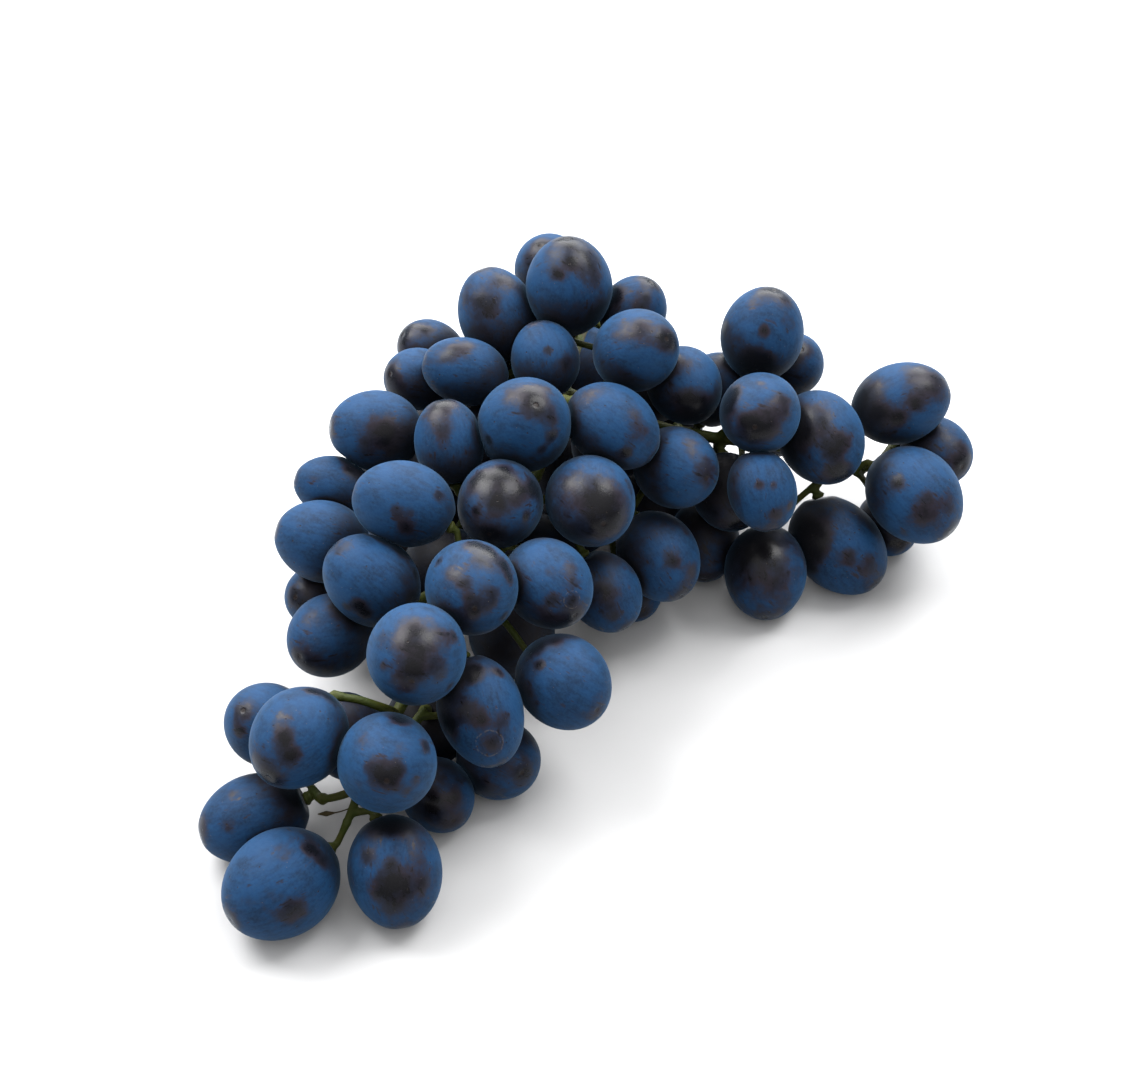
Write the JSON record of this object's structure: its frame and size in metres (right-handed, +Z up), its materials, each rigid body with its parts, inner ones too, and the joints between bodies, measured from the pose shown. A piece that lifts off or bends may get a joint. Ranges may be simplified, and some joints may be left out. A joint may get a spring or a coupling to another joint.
{
  "type": "bunch of grapes",
  "caption": "Bunch of dark blue oval grapes with a waxy bloom on a branched green stem, lying on its side with its tail to the front and a wing to one side.",
  "frame": {"origin": "middle of the base of the bunch's box, on the surface that it lies on", "axes": "+Z up from the surface, +Y from the tail tip at the front to the cut end of the stem at the back, +X toward the wing"},
  "size_m": [0.2082, 0.2284, 0.0876],
  "materials": {
    "bloomed_skin": "near-black glossy grape skin under a matt blue wax bloom, rubbed off in patches",
    "green_stalk": "matt olive green, woody at the cut end"
  },
  "bodies": {
    "root": {"berries_tail_tip": "bloomed_skin", "berries_tail_left": "bloomed_skin", "berries_tail_end": "bloomed_skin", "berries_tail_right": "bloomed_skin", "berries_front": "bloomed_skin", "berries_front_right": "bloomed_skin", "berries_left_low": "bloomed_skin", "berries_left_front": "bloomed_skin", "berries_middle": "bloomed_skin", "berries_underside": "bloomed_skin", "berries_crown_left": "bloomed_skin", "berries_crown": "bloomed_skin", "berries_crown_right": "bloomed_skin", "berries_wing_back": "bloomed_skin", "berries_wing_middle": "bloomed_skin", "berries_wing_front": "bloomed_skin", "berries_wing_end": "bloomed_skin", "stem": "green_stalk"}
  },
  "joints": []
}
